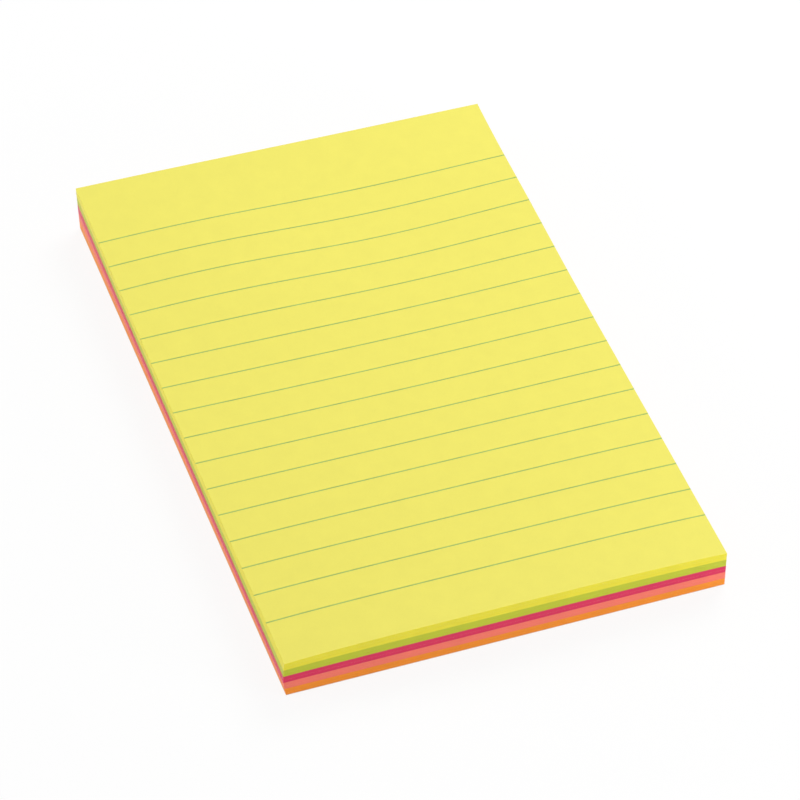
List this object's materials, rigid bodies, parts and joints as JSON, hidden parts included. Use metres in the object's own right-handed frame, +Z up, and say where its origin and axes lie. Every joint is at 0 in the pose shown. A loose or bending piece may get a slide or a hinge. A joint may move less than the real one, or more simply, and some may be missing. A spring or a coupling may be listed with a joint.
{
  "type": "sticky note pad",
  "caption": "Ruled sticky note pad in fluorescent colours, with blocks of paper sheets held along one glued edge and warped top sheets.",
  "frame": {"origin": "on the table under the middle of the pad, the centre of the bounding box's bottom face", "axes": "+X along the ruled lines, to the right of someone who reads the pad; +Y towards the glued edge, along the pad's longest side; +Z up through the sheets, out of the ruled face"},
  "size_m": [0.1026, 0.1528, 0.0135],
  "materials": {
    "backing_paper": "smooth white release paper",
    "adhesive": "thin milky pressure-sensitive film",
    "ruling_ink": "thin green printing ink",
    "orange_paper": "uncoated fluorescent orange paper",
    "coral_paper": "uncoated fluorescent coral pink paper",
    "magenta_paper": "uncoated fluorescent magenta paper",
    "lime_paper": "uncoated fluorescent lime green paper",
    "yellow_paper": "uncoated fluorescent yellow paper"
  },
  "bodies": {
    "root": {"backing_sheet": "backing_paper", "adhesive_orange": "adhesive", "orange_sheets": "orange_paper", "adhesive_coral": "adhesive", "coral_sheets": "coral_paper", "adhesive_magenta": "adhesive", "magenta_sheets": "magenta_paper", "adhesive_lime": "adhesive", "lime_sheets": "lime_paper", "adhesive_yellow": "adhesive", "yellow_sheets": "yellow_paper", "ruled_lines": "ruling_ink"}
  },
  "joints": []
}
